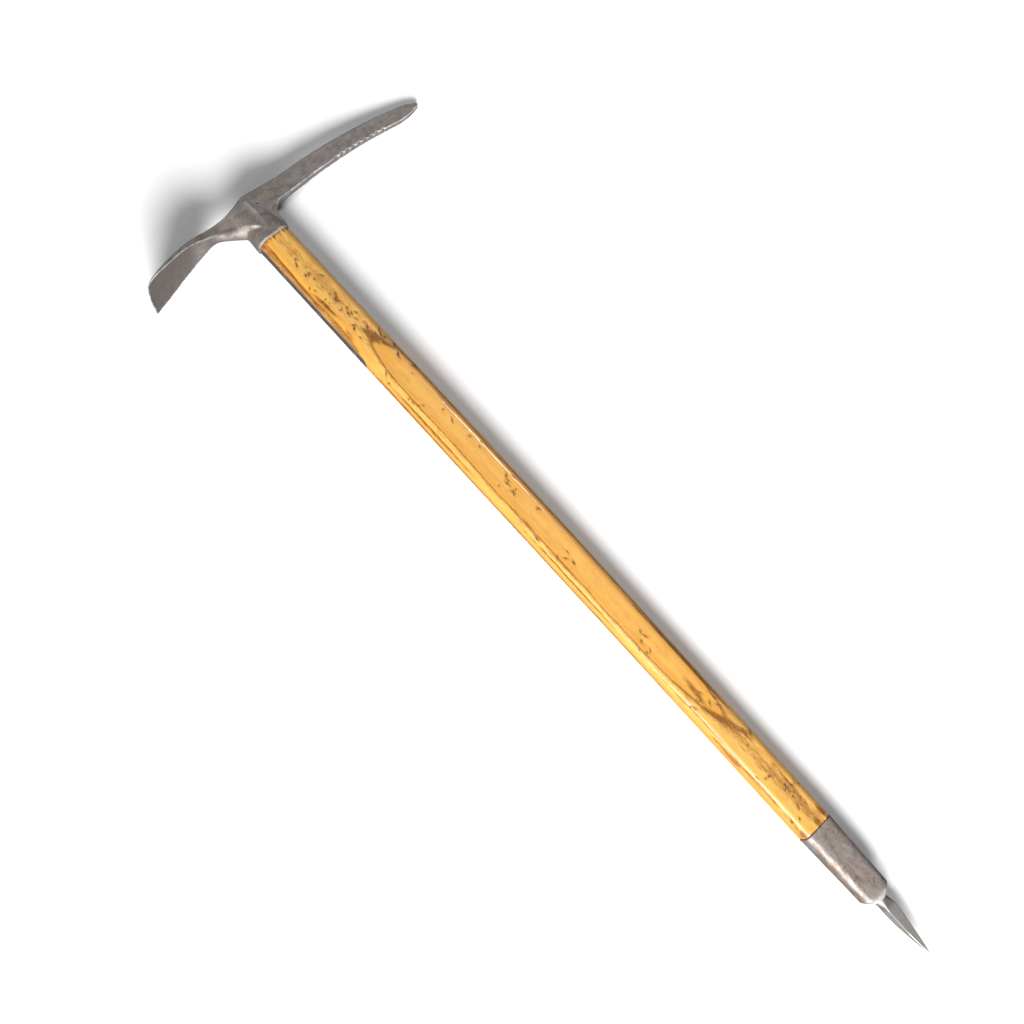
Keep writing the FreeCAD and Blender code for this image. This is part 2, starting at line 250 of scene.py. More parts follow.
def make_head():
    """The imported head, remeshed finely, softened round the socket and the neck, and hammered."""
    source = frame["nodes"]["head"]
    edit = bmesh.new()
    edit.from_mesh(source.data)
    bmesh.ops.remove_doubles(edit, verts=edit.verts, dist=0.01 * MM)
    mesh = bpy.data.meshes.new("head_forged")
    edit.to_mesh(mesh)
    edit.free()
    head = new_object("head_forged", mesh)
    remesh = head.modifiers.new("forging", "REMESH")
    remesh.mode = "VOXEL"
    remesh.voxel_size = HEAD_VOXEL * MM
    mesh = apply_modifiers(head)

    around = Neighbours(mesh)
    points = to_tool(get_points(mesh))
    weight = softening(points)[:, None]
    for _ in range(SOFT_ROUNDS):
        points = points + 0.5 * (around.mean(points) - points)
        points = points - 0.52 * (1.0 - weight) * (around.mean(points) - points)
    set_points(mesh, to_row(points))
    normals = get_normals(mesh) @ TOOL_NP[:3, :3] / MM
    hammered = 0.09 * noise_at(points, (11.0, 11.0, 11.0), 3.7)
    hammered += 0.03 * noise_at(points, (3.6, 3.6, 3.6), 8.1)
    points = points + normals * (hammered - 0.06)[:, None]
    ridge = crest(points)
    points[:, 2] += RIDGE_HEIGHT * np.sign(points[:, 2]) * ridge * np.abs(normals[:, 2])
    set_points(mesh, to_row(points))

    bulge = np.einsum("ij,ij->i", normals, points - around.mean(points)) / HEAD_VOXEL
    for _ in range(2):
        bulge = 0.5 * (bulge + around.mean(bulge))
    langet = smoothstep(SHAFT_TOP, SHAFT_TOP + 4.0, points[:, 0])
    # The edge attribute brightens the steel. On sharp convex edges it is partly wear and partly a painted
    # highlight. Along the socket's ridge (0.20 * ridge) it is a painted highlight.
    set_attribute(mesh, "edge", np.clip(bulge * 5.0 + 0.20 * ridge, 0.0, 1.0) * (1.0 - langet))
    # Painted shade: darkens concave places, the langets, the adze's inner face (scoop) and the adze's neck.
    scoop = 0.6 * smoothstep(-46.0, -66.0, points[:, 1]) * smoothstep(0.0, 0.5, normals[:, 0])
    neck = 0.65 * smoothstep(-14.0, -22.0, points[:, 1]) * smoothstep(-54.0, -42.0, points[:, 1])
    set_attribute(mesh, "painted_shade", np.clip(-bulge * 9.0 + langet + scoop + neck, 0.0, 1.0))
    shade(mesh, 180.0)
    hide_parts("head")
    return head


# ---------------------------------------------------------------------------------------------
# Shaft
# ---------------------------------------------------------------------------------------------

RING_POINTS = 96
RING_STEP = 1.5
KNOCK_CLUSTERS = 76
KNOCK_DEPTH = 0.28
# Across the wood: distance down the shaft, offset towards the pick, width and corner radius
SHAFT_STATIONS = (
    (SHAFT_TOP, 0.0, 31.0, 9.0),
    (190.0, 0.7, 32.3, 9.3),
    (300.0, 1.2, 33.0, 9.4),
    (400.0, 1.3, 32.6, 9.2),
    (510.0, 1.0, 31.2, 8.6),
    (SHAFT_FOOT, SHAFT_FOOT_OFFSET, FERRULE_RIM_WIDTH, 7.0),
)


def shaft_section(x):
    """(centre, width, corner) of the wood at x: a slight bow, a swell above the middle."""
    places, *measures = np.array(SHAFT_STATIONS).T
    return [np.interp(x, places, measure) for measure in measures]


def shaft_rings():
    """Tenon, body with softened ends, and the foot inside the ferrule."""
    tenon = [rounded_ring(x, 0.0, 2 * TENON_HALF_WIDTH, 20.9, 6.0, RING_POINTS)
             for x in (12.0, SHAFT_TOP - 0.2)]
    body = []
    steps = np.arange(SHAFT_TOP, SHAFT_FOOT - 3.0, RING_STEP)
    last_steps = SHAFT_FOOT - np.array([3.0, 2.1, 1.3, 0.7, 0.3, 0.0])
    steps = np.concatenate([[SHAFT_TOP - 0.2], steps, last_steps])
    for x in steps:
        centre, width, corner = shaft_section(x)
        thickness = SHAFT_THICKNESS - 0.6 * smoothstep(510.0, SHAFT_FOOT, x)
        top_round = 0.35 * (1.0 - smoothstep(0.0, 1.6, x - SHAFT_TOP))
        past = np.clip((x - SHAFT_FOOT + 2.6) / 2.6, 0.0, 1.0)
        foot_round = 1.1 * (1.0 - math.sqrt(1.0 - past ** 2))
        taken_in = top_round + foot_round
        body.append(rounded_ring(x, centre, width - 2 * taken_in, thickness - 2 * taken_in,
                                 corner - taken_in, RING_POINTS))
    shrink = FERRULE_WALL + 0.05
    foot = [
        rounded_ring(SHAFT_FOOT, SHAFT_FOOT_OFFSET, FERRULE_RIM_WIDTH - 2 * shrink,
                     FERRULE_RIM_THICKNESS - 2 * shrink, FERRULE_CORNER - shrink, RING_POINTS),
        rounded_ring(FERRULE_SHOULDER - shrink, 0.0, FERRULE_SHOULDER_WIDTH - 2 * shrink,
                     FERRULE_SHOULDER_THICKNESS - 2 * shrink, FERRULE_CORNER - shrink, RING_POINTS),
    ]
    return tenon + body + foot


def langet_cutters():
    """Blocks with one round end, for the rebates that the two langets lie in."""
    outline = [(SHAFT_TOP - 1.0, -LANGET_HALF), (SHAFT_TOP - 1.0, LANGET_HALF)]
    for k in range(25):
        angle = math.radians(90.0 - 7.5 * k)
        outline.append((LANGET_END - LANGET_HALF + 0.2 + LANGET_HALF * math.cos(angle),
                        LANGET_HALF * math.sin(angle)))
    cutters = []
    for side in (-1.0, 1.0):
        count = len(outline)
        points = [(x, side * TENON_HALF_WIDTH, z) for x, z in outline]
        points += [(x, side * 24.0, z) for x, z in outline]
        faces = [tuple(range(count)), tuple(reversed(range(count, 2 * count)))]
        faces += [(i, i + count, (i + 1) % count + count, (i + 1) % count) for i in range(count)]
        mesh = bpy.data.meshes.new("langet_cutter")
        mesh.from_pydata([tuple(p) for p in to_row(np.array(points))], [], faces)
        outward_normals(mesh)
        cutters.append(new_object("langet_cutter", mesh))
    return cutters


def make_shaft():
    """The wood, with rebates for the langets, an uneven skin and knocks."""
    shaft = ring_object("shaft_ash", shaft_rings())
    for cutter in langet_cutters():
        cut = shaft.modifiers.new("rebate", "BOOLEAN")
        cut.operation = "DIFFERENCE"
        cut.solver = "EXACT"
        cut.object = cutter
        mesh = apply_modifiers(shaft)
        bpy.data.objects.remove(cutter)
    points = to_tool(get_points(mesh))
    knock = knock_depth(points)
    normals = get_normals(mesh) @ TOOL_NP[:3, :3] / MM
    uneven = 0.08 * noise_at(points, (60.0, 12.0, 12.0), 5.2) - 0.08
    body = (points[:, 0] > SHAFT_TOP + 1.0) & (points[:, 0] < SHAFT_FOOT - 0.1)
    shift = np.where(body, uneven - KNOCK_DEPTH * knock, 0.0)
    set_points(mesh, to_row(points + normals * shift[:, None]))
    set_attribute(mesh, "knock", knock)
    set_attribute(mesh, "stain", stain_strength(points))
    shade(mesh, 35.0)
    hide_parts("shaft")
    return shaft


def knock_depth(points):
    """0 to 1: how deep each point lies in a knock. Knocks come in small clusters, placed on both
    broad sides of the shaft by a seeded draw, and more of them towards the head."""
    x, y, z = points.T
    depth = np.zeros(len(points))
    marks = []
    random = np.random.default_rng(12)
    for _ in range(KNOCK_CLUSTERS):
        middle = 58.0 + 640.0 * random.uniform() ** 1.15, random.uniform(-12.0, 12.0)
        side = random.choice([-1.0, 1.0])
        for _ in range(random.integers(1, 6)):
            marks.append((middle[0] + random.normal(0.0, 7.0), middle[1] + random.normal(0.0, 3.0), side,
                          random.uniform(1.2, 4.5), random.uniform(0.8, 1.5), random.uniform(-40.0, 40.0)))
    for kx, ky, face, length, width, lean in marks:
        near = (np.abs(x - kx) < 3 * length) & (z * face > 0)
        turn = math.radians(lean)
        u = (x[near] - kx) * math.cos(turn) + (y[near] - ky) * math.sin(turn)
        v = (y[near] - ky) * math.cos(turn) - (x[near] - kx) * math.sin(turn)
        depth[near] = np.maximum(depth[near], np.exp(-(u / length) ** 2 - (v / width) ** 2))
    return depth


# Brown stains in the upper broad side: distance down the shaft, height across it, length, width,
# the angle from the grain in degrees, and strength
STAINS = (
    (166.0, 3.5, 11.0, 3.6, 12.0, 1.3),
    (178.0, 8.5, 12.0, 1.6, 8.0, 1.1),
    (76.0, -11.8, 40.0, 0.9, -2.0, 1.2),
    (120.0, -9.0, 17.0, 1.7, 4.0, 1.0),
    (152.0, -10.0, 10.0, 2.0, 0.0, 0.5),
    (250.0, 11.0, 14.0, 2.4, 0.0, 0.6),
    (372.0, -9.0, 22.0, 2.2, -2.0, 0.6),
    (420.0, -9.0, 20.0, 1.8, 2.0, 0.5),
    (487.0, 12.0, 20.0, 2.0, 0.0, 0.6),
    (540.0, 12.4, 48.0, 1.3, 0.0, 1.6),
    (260.0, -13.4, 60.0, 0.9, 0.0, 1.0),
    (430.0, -12.8, 70.0, 0.8, 0.0, 0.9),
    (590.0, -11.4, 60.0, 0.8, 1.0, 0.9),
    (566.0, 0.5, 17.0, 2.6, -6.0, 0.8),
    (593.0, 0.0, 14.0, 2.8, 14.0, 1.0),
    (614.0, 7.0, 15.0, 2.8, 10.0, 0.9),
    (668.0, 7.0, 26.0, 2.0, -4.0, 0.7),
    (704.0, 11.0, 7.0, 3.0, 0.0, 0.9),
    (708.0, 2.0, 5.0, 3.0, 0.0, 0.8),
    (708.0, -13.0, 5.0, 3.0, 0.0, 0.8),
)


def stain_strength(points):
    """How strongly each point of the upper broad side is stained."""
    x, y, z = points.T
    strength = np.zeros(len(points))
    for sx, sy, length, width, lean, dark in STAINS:
        turn = math.radians(lean)
        u = (x - sx) * math.cos(turn) + (y - sy) * math.sin(turn)
        v = (y - sy) * math.cos(turn) - (x - sx) * math.sin(turn)
        strength = np.maximum(strength, dark * np.exp(-(u / length) ** 2 - (v / width) ** 2))
    return np.where(z > 0.0, strength, 0.0)


# ---------------------------------------------------------------------------------------------
# Ferrule and spike
# ---------------------------------------------------------------------------------------------

def turned(ring, offset):
    """The ring turned by the spike's twist about the shaft's axis, then moved towards the pick."""
    cosine, sine = math.cos(SPIKE_TWIST), math.sin(SPIKE_TWIST)
    x, y, z = ring.T
    return np.column_stack([x, y * cosine - z * sine + offset, y * sine + z * cosine])


def make_ferrule():
    """A closed cup over the foot of the wood, dented a little. A station is
    (x, offset, width, thickness, corner)."""
    count = 72
    wall = FERRULE_WALL
    outside = [
        (SHAFT_FOOT + 0.02, 0.2, 29.1, 21.3, 5.7), (SHAFT_FOOT + 0.15, 0.2, 29.55, 21.75, 5.9),
        (SHAFT_FOOT + 0.5, 0.2, 29.76, 21.96, 6.0), (SHAFT_FOOT + 1.2, 0.2, 29.76, 21.96, 6.0),
        (SHAFT_FOOT + 6.0, 0.2, 29.6, 21.8, 6.0), (730.0, 0.15, 29.1, 21.4, 6.0),
        (750.0, 0.1, 28.3, 20.7, 6.0), (768.0, 0.05, 27.5, 20.1, 6.0),
        (FERRULE_SHOULDER - 1.6, 0.0, 27.1, 19.7, 6.0), (FERRULE_SHOULDER - 0.1, 0.0, 26.7, 19.4, 6.0),
        (FERRULE_SHOULDER + 1.0, 0.0, 25.0, 18.7, 5.9), (FERRULE_SHOULDER + 2.6, 0.0, 21.8, 17.2, 5.9),
        (FERRULE_SHOULDER + 5.6, 0.0, 16.4, 14.4, 6.0), (FERRULE_END - 0.3, 0.0, 14.2, 13.4, 6.2),
        (FERRULE_END, 0.0, 13.0, 12.9, 6.2), (FERRULE_END, 0.0, 12.5, 12.5, 6.2),
    ]
    inside = [
        (FERRULE_SHOULDER - wall, 0.0, 12.5, 12.5, 6.2),
        (FERRULE_SHOULDER - wall, 0.0, FERRULE_SHOULDER_WIDTH - 2 * wall,
         FERRULE_SHOULDER_THICKNESS - 2 * wall, FERRULE_CORNER - wall),
        (SHAFT_FOOT + 0.02, SHAFT_FOOT_OFFSET, FERRULE_RIM_WIDTH - 2 * wall,
         FERRULE_RIM_THICKNESS - 2 * wall, FERRULE_CORNER - wall),
    ]
    rings = [rounded_ring(*station, count) for station in outside]
    fine = refine(rings, 1.2)
    rings = fine + [rounded_ring(*station, count) for station in inside]
    ferrule = ring_object("ferrule_cup", rings, closed_loop=True)
    mesh = ferrule.data
    points = to_tool(get_points(mesh))
    normals = get_normals(mesh) @ TOOL_NP[:3, :3] / MM
    on_skin = smoothstep(SHAFT_FOOT + 0.5, SHAFT_FOOT + 3.0, points[:, 0])
    dents = 0.10 * noise_at(points, (8.0, 5.0, 5.0), 1.3) + 0.04 * noise_at(points, (2.0, 2.0, 2.0), 4.4)
    outer = np.arange(len(points)) < len(fine) * count
    shift = np.where(outer, (dents - 0.09) * on_skin, 0.0)
    set_points(mesh, to_row(points + normals * shift[:, None]))
    shade(mesh, 40.0)
    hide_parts("ferrule")
    return ferrule


def refine(rings, step):
    """Adds rings between the given ones wherever they are more than step apart."""
    fine = []
    for first, second in zip(rings[:-1], rings[1:]):
        pieces = max(1, int(np.ceil(np.linalg.norm(second[0] - first[0]) / step)))
        fine += [first + (second - first) * k / pieces for k in range(pieces)]
    return fine + [rings[-1]]


def make_spike():
    """Square taper with a round flared neck, and a tang in the wood. It is a little off the
    shaft's axis at the neck, and turned a few degrees. A station is (x, offset, side, corner)."""
    count = 64
    tang_root = FERRULE_SHOULDER - FERRULE_WALL
    stations = [
        (tang_root - TANG_LENGTH, 0.0, 4.0, 0.5),
        (tang_root, 0.0, 8.0, 0.8),
        (tang_root + 0.1, 0.0, 12.4, 6.2),
        (FERRULE_END, 0.0, 12.4, 6.2),
        (FERRULE_END + 1.6, 0.1, 11.9, 5.6),
        (FERRULE_END + 3.6, 0.4, 11.2, 4.4),
        (FERRULE_END + 5.6, 0.7, 10.7, 2.8),
        (FERRULE_END + 7.6, 0.9, 10.5, 1.5),
        (FERRULE_END + 10.0, 1.0, 10.5, 0.9),
        (FERRULE_END + 16.0, 0.8, 10.0, 0.7),
        (FERRULE_END + 24.0, 0.4, 8.9, 0.6),
        (FERRULE_END + 33.0, 0.1, 7.2, 0.6),
        (FERRULE_END + 42.0, 0.0, 5.3, 0.55),
        (FERRULE_END + 50.0, 0.0, 3.3, 0.5),
        (FERRULE_END + 54.5, 0.0, 2.0, 0.5),
        (OVERALL_LENGTH - 0.5, 0.0, 1.3, 0.45),
        (OVERALL_LENGTH - 0.05, 0.0, 0.7, 0.33),
    ]
    rings = [turned(rounded_ring(x, 0.0, side, side, corner, count), offset)
             for x, offset, side, corner in stations]
    neck_start = 2
    rings = rings[:neck_start] + refine(rings[neck_start:], 1.0)
    spike = ring_object("spike_point", rings)
    mesh = spike.data
    points = to_tool(get_points(mesh))
    normals = get_normals(mesh) @ TOOL_NP[:3, :3] / MM
    bare = smoothstep(FERRULE_END + 1.0, FERRULE_END + 5.0, points[:, 0])
    bare *= 1.0 - smoothstep(OVERALL_LENGTH - 4.0, OVERALL_LENGTH, points[:, 0])
    filed = 0.09 * noise_at(points, (7.0, 4.0, 4.0), 2.9)
    set_points(mesh, to_row(points + normals * (filed * bare)[:, None]))
    set_attribute(mesh, "edge", 0.25 * smoothstep(OVERALL_LENGTH - 40.0, OVERALL_LENGTH - 6.0, points[:, 0]))
    # Painted shade on the spike's neck next to the ferrule.
    neck = 1.0 - smoothstep(FERRULE_END + 5.0, FERRULE_END + 14.0, points[:, 0])
    set_attribute(mesh, "painted_shade", 0.85 * neck)
    shade(mesh, 40.0)
    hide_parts("spike")
    return spike


# ---------------------------------------------------------------------------------------------
# Materials
# ---------------------------------------------------------------------------------------------

class Shader:
    """A short way to write a material's nodes. Inputs may be numbers, colours or other outputs."""

    def __init__(self, name):
        self.material = bpy.data.materials.new(name)
        self.material.use_nodes = True
        self.tree = self.material.node_tree
        self.tree.nodes.clear()
        self.surface = self.tree.nodes.new("ShaderNodeBsdfPrincipled")
        output = self.tree.nodes.new("ShaderNodeOutputMaterial")
        self.tree.links.new(self.surface.outputs["BSDF"], output.inputs["Surface"])

    def plug(self, socket, value):
        if isinstance(value, bpy.types.NodeSocket):
            self.tree.links.new(value, socket)
        else:
            socket.default_value = value

    def set(self, **inputs):
        for name, value in inputs.items():
            self.plug(self.surface.inputs[name.replace("_", " ")], value)

    def math(self, operation, *values, clamp=False):
        node = self.tree.nodes.new("ShaderNodeMath")
        node.operation = operation
        node.use_clamp = clamp
        for socket, value in zip(node.inputs, values):
            self.plug(socket, value)
        return node.outputs["Value"]

    def add(self, *values):
        total = values[0]
        for value in values[1:]:
            total = self.math("ADD", total, value)
        return total

    def multiply(self, *values):
        total = values[0]
        for value in values[1:]:
            total = self.math("MULTIPLY", total, value)
        return total

    def step(self, value, low, high, to_low=0.0, to_high=1.0):
        """Smooth step of value from to_low at low to to_high at high."""
        node = self.tree.nodes.new("ShaderNodeMapRange")
        node.interpolation_type = "SMOOTHSTEP"
        for name, number in (("Value", value), ("From Min", low), ("From Max", high),
                             ("To Min", to_low), ("To Max", to_high)):
            self.plug(node.inputs[name], number)
        return node.outputs["Result"]

    def mix(self, factor, low, high):
        node = self.tree.nodes.new("ShaderNodeMix")
        node.data_type = "RGBA"
        self.plug(node.inputs["Factor"], factor)
        self.plug(node.inputs[6], low)
        self.plug(node.inputs[7], high)
        return node.outputs[2]

    def tool_coordinates(self):
        """The shaded point in the tool's axes, in millimetres."""
        where = self.tree.nodes.new("ShaderNodeTexCoord")
        mapping = self.tree.nodes.new("ShaderNodeMapping")
        mapping.vector_type = "TEXTURE"
        place, turn, _ = TOOL.decompose()
        mapping.inputs["Location"].default_value = place
        mapping.inputs["Rotation"].default_value = turn.to_euler("XYZ")
        mapping.inputs["Scale"].default_value = (MM, MM, MM)
        self.tree.links.new(where.outputs["Object"], mapping.inputs["Vector"])
        return mapping.outputs["Vector"]

    def split(self, vector):
        node = self.tree.nodes.new("ShaderNodeSeparateXYZ")
        self.plug(node.inputs["Vector"], vector)
        return node.outputs["X"], node.outputs["Y"], node.outputs["Z"]

    def noise(self, vector, size, detail=3.0, roughness=0.55):
        """Noise, about 0 to 1. size is one feature's size in millimetres along each axis."""
        mapping = self.tree.nodes.new("ShaderNodeMapping")
        mapping.inputs["Scale"].default_value = [1.0 / s for s in size]
        self.plug(mapping.inputs["Vector"], vector)
        node = self.tree.nodes.new("ShaderNodeTexNoise")
        self.plug(node.inputs["Vector"], mapping.outputs["Vector"])
        node.inputs["Scale"].default_value = 1.0
        node.inputs["Detail"].default_value = detail
        node.inputs["Roughness"].default_value = roughness
        return node.outputs["Fac"]

    def attribute(self, name):
        node = self.tree.nodes.new("ShaderNodeAttribute")
        node.attribute_name = name
        return node.outputs["Fac"]

    def bump(self, height, distance, normal=None):
        """distance in millimetres for a height of 1."""
        node = self.tree.nodes.new("ShaderNodeBump")
        node.inputs["Strength"].default_value = 1.0
        node.inputs["Distance"].default_value = distance * MM
        self.plug(node.inputs["Height"], height)
        if normal is not None:
            self.plug(node.inputs["Normal"], normal)
        return node.outputs["Normal"]


def ash_wood():
    """Varnished ash: growth rings round a centre that lies below the upper broad side."""
    s = Shader("varnished_ash")
    point = s.tool_coordinates()
    x, y, z = s.split(point)

    wander = s.noise(point, (90.0, 14.0, 14.0), detail=2.0)
    shiver = s.noise(point, (16.0, 2.6, 2.6), detail=3.0)
    ring_centre_y = 2.4
    depth_at_ends, depth_in_middle = 13.0, 5.4
    upper_arch, lower_arch = (151.0, 215.0), (514.0, 627.0)
    change = depth_at_ends - depth_in_middle
    depth = s.add(depth_in_middle, s.step(x, *upper_arch, change, 0.0), s.step(x, *lower_arch, 0.0, change))
    below = s.add(s.math("SUBTRACT", z, SHAFT_THICKNESS / 2), depth)
    beside = s.math("SUBTRACT", y, ring_centre_y)
    radius = s.math("SQRT", s.add(s.multiply(below, below), s.multiply(beside, beside)))
    radius = s.add(radius, s.multiply(s.math("SUBTRACT", wander, 0.5), 2.6),
                   s.multiply(s.math("SUBTRACT", shiver, 0.5), 1.7))
    first_ring, ring_spacing = 11.7, 6.7
    rings = s.math("DIVIDE", s.math("SUBTRACT", radius, first_ring), ring_spacing)
    phase = s.math("FRACT", s.add(rings, 4.0))

    pores = s.noise(point, (5.0, 0.75, 0.75), detail=3.0, roughness=0.7)
    clumps = s.noise(point, (9.0, 1.6, 1.6), detail=3.0, roughness=0.65)
    fibre = s.noise(point, (26.0, 0.5, 0.5), detail=4.0, roughness=0.65)
    streak = s.noise(point, (150.0, 2.6, 2.6), detail=2.0)
    mottle = s.noise(point, (15.0, 4.5, 4.5), detail=3.0)
    speck = s.noise(point, (1.3, 0.75, 0.75), detail=3.0, roughness=0.7)

    early = s.add(s.step(phase, 0.0, 0.46, 1.0, 0.0), s.step(phase, 0.91, 1.0, 0.0, 1.0))
    early = s.multiply(early, s.step(rings, -0.6, -0.3))
    fuzzy = s.multiply(s.step(pores, 0.42, 0.56, 0.12, 1.0), s.step(clumps, 0.36, 0.56, 0.30, 1.0))
    thin = s.add(s.step(phase, 0.0, 0.26, 1.0, 0.0), s.step(phase, 0.92, 1.0, 0.0, 1.0))
    thin = s.multiply(thin, s.step(rings, -0.6, -0.3), s.step(speck, 0.34, 0.54, 0.40, 1.0))
    echo = s.step(s.math("ABSOLUTE", s.math("SUBTRACT", phase, 0.27)), 0.0, 0.06, 1.0, 0.0)
    echo = s.multiply(echo, s.step(clumps, 0.44, 0.60), s.step(rings, -0.6, -0.3), 0.6)
    line = s.math("MAXIMUM", s.multiply(early, fuzzy), thin)
    line = s.math("MAXIMUM", line, echo)
    stray = s.multiply(s.step(pores, 0.62, 0.70), s.step(clumps, 0.46, 0.60), 0.40)

    late, pale = (0.645, 0.322, 0.057, 1.0), (0.74, 0.435, 0.112, 1.0)
    orange = (0.58, 0.255, 0.036, 1.0)
    brown = (0.19, 0.066, 0.009, 1.0)
    black = (0.070, 0.026, 0.006, 1.0)
    colour = s.mix(s.step(phase, 0.15, 0.9), pale, late)
    colour = s.mix(s.step(rings, 0.12, -0.25, 0.0, 0.40), colour, orange)
    colour = s.mix(s.step(streak, 0.40, 0.66, 0.0, 0.30), colour, orange)
    colour = s.mix(s.step(fibre, 0.42, 0.70, 0.0, 0.30), colour, late)
    colour = s.mix(s.step(mottle, 0.42, 0.66, 0.0, 0.42), colour, (0.53, 0.24, 0.038, 1.0))
    # Painted shade: both long edges of the shaft darkened towards orange, broken up by noise.
    shaded_long_edges = s.add(s.step(y, 9.5, 15.5), s.step(y, -16.5, -11.0, 1.0, 0.0))
    colour = s.mix(s.multiply(shaded_long_edges, s.step(clumps, 0.30, 0.62, 0.25, 0.80), 0.55), colour, orange)
    colour = s.mix(s.math("MULTIPLY", s.add(line, stray), 0.92, clamp=True), colour, brown)

    stain = s.attribute("stain")
    soaked = s.step(s.add(stain, s.multiply(clumps, 0.9)), 0.62, 1.25)
    soaked = s.multiply(soaked, s.step(pores, 0.25, 0.6, 0.45, 1.0))
    colour = s.mix(s.math("MULTIPLY", soaked, 1.0, clamp=True), colour, brown)

    knock = s.attribute("knock")
    struck = s.step(s.add(s.multiply(knock, 0.55), speck), 0.86, 0.96)
    bruise = s.multiply(s.step(knock, 0.10, 0.80), 0.42)
    scatter = s.multiply(s.step(speck, 0.62, 0.69), s.step(clumps, 0.48, 0.62), 0.85)
    tooth = s.noise(point, (40.0, 1.9, 1.9), detail=2.0)
    collar_edge = s.math("SUBTRACT", x, s.multiply(s.math("SUBTRACT", tooth, 0.5), 20.0))
    collar_edge = s.step(collar_edge, SHAFT_TOP, SHAFT_TOP + 2.4, 0.92, 0.0)
    foot_edge = s.math("SUBTRACT", s.math("SUBTRACT", SHAFT_FOOT, x), s.multiply(clumps, 3.6))
    foot_edge = s.step(foot_edge, -1.4, 0.0, 0.9, 0.0)
    ends = s.math("MAXIMUM", collar_edge, foot_edge)
    colour = s.mix(s.math("MAXIMUM", bruise, ends), colour, brown)
    dirt = s.math("MAXIMUM", struck, scatter)
    colour = s.mix(dirt, colour, s.mix(s.step(speck, 0.35, 0.62), brown, black))

    relief = s.add(s.multiply(fibre, 0.25), s.multiply(line, -0.35), s.multiply(dirt, -1.1))
    ripple = s.noise(point, (14.0, 5.0, 5.0), detail=2.0)
    normal = s.bump(relief, 0.05)
    normal = s.bump(ripple, 0.10, normal=normal)
    s.set(Base_Color=colour, Roughness=s.add(0.38, s.multiply(dirt, 0.30), s.multiply(fibre, 0.08)),
          Normal=normal, Coat_Weight=0.45, Coat_Roughness=0.13, IOR=1.5)
    return s.material


def worn_steel(name, colour, warm, dark, bright, roughness, patch, grain, metallic=0.75,
               patina_depth=0.5, edge_wear_and_painted_light=False, painted_highlight_band=None, veins=0.0):
    """Old steel: soft clouds of patina, fine pits and scratches. With edge_wear_and_painted_light,
    edges are brightened, partly as wear and partly as a painted highlight, and painted shade is
    laid in hollows. Between the two distances down the tool in painted_highlight_band a painted
    highlight is laid on."""
    s = Shader(name)
    point = s.tool_coordinates()
    cloud = s.noise(point, [3.0 * size for size in patch], detail=3.0)
    blotch = s.noise(point, patch, detail=5.0, roughness=0.62)
    brushed = s.noise(point, grain, detail=4.0, roughness=0.6)
    pits = s.noise(point, (0.9, 0.9, 0.9), detail=3.0, roughness=0.7)
    scratch = s.noise(point, [size * 3.0 for size in grain], detail=6.0, roughness=0.75)

    patina = s.step(blotch, 0.40, 0.68)
    tone = s.mix(s.step(cloud, 0.38, 0.62), colour, warm)
    tone = s.mix(s.multiply(patina, patina_depth), tone, dark)
    tone = s.mix(s.step(brushed, 0.50, 0.80, 0.0, 0.30), tone, bright)
    tone = s.mix(s.step(scratch, 0.66, 0.72, 0.0, 0.35), tone, bright)
    tone = s.mix(s.step(pits, 0.64, 0.76, 0.0, 0.50), tone, dark)
    if veins:
        vein = s.step(s.math("ABSOLUTE", s.math("SUBTRACT", blotch, 0.49)), 0.0, 0.035, 1.0, 0.0)
        tone = s.mix(s.multiply(vein, s.step(cloud, 0.42, 0.60), veins), tone, dark)
    rub_and_highlight = 0.0
    if edge_wear_and_painted_light:
        # Bright edges: partly wear, partly painted highlight.
        rub_and_highlight = s.multiply(s.step(s.attribute("edge"), 0.12, 0.70), s.step(blotch, 0.30, 0.62, 1.0, 0.45))
        # Painted shade where the painted_shade attribute is high.
        tone = s.mix(s.multiply(s.step(s.attribute("painted_shade"), 0.2, 0.9), 0.75), tone, dark)
    # A painted highlight: a bright band laid on between two distances down the tool.
    if painted_highlight_band is not None:
        x, _, _ = s.split(point)
        reach = s.add(x, s.multiply(s.math("SUBTRACT", blotch, 0.5), 5.0))
        band = s.multiply(s.step(reach, painted_highlight_band[0] - 1.2, painted_highlight_band[0] + 1.2),
                          s.step(reach, painted_highlight_band[1] - 1.2, painted_highlight_band[1] + 1.2, 1.0, 0.0))
        rub_and_highlight = s.math("MAXIMUM", rub_and_highlight, band)
    # Lays the bright colour on worn edges, painted highlights and the painted highlight band.
    tone = s.mix(s.multiply(rub_and_highlight, 0.85), tone, bright)
    worn_roughness = s.add(roughness, s.multiply(patina, 0.12), s.multiply(brushed, 0.10),
                           s.multiply(rub_and_highlight, -0.08))
    relief = s.add(s.multiply(blotch, 0.8), s.multiply(brushed, 0.5),
                   s.multiply(s.step(pits, 0.58, 0.75), -0.8))
    s.set(Base_Color=tone, Metallic=s.math("SUBTRACT", metallic, s.multiply(rub_and_highlight, 0.30)),
          Roughness=worn_roughness, Normal=s.bump(relief, 0.045))
    return s.material


def paint(piece, material):
    piece.data.materials.clear()
    piece.data.materials.append(material)


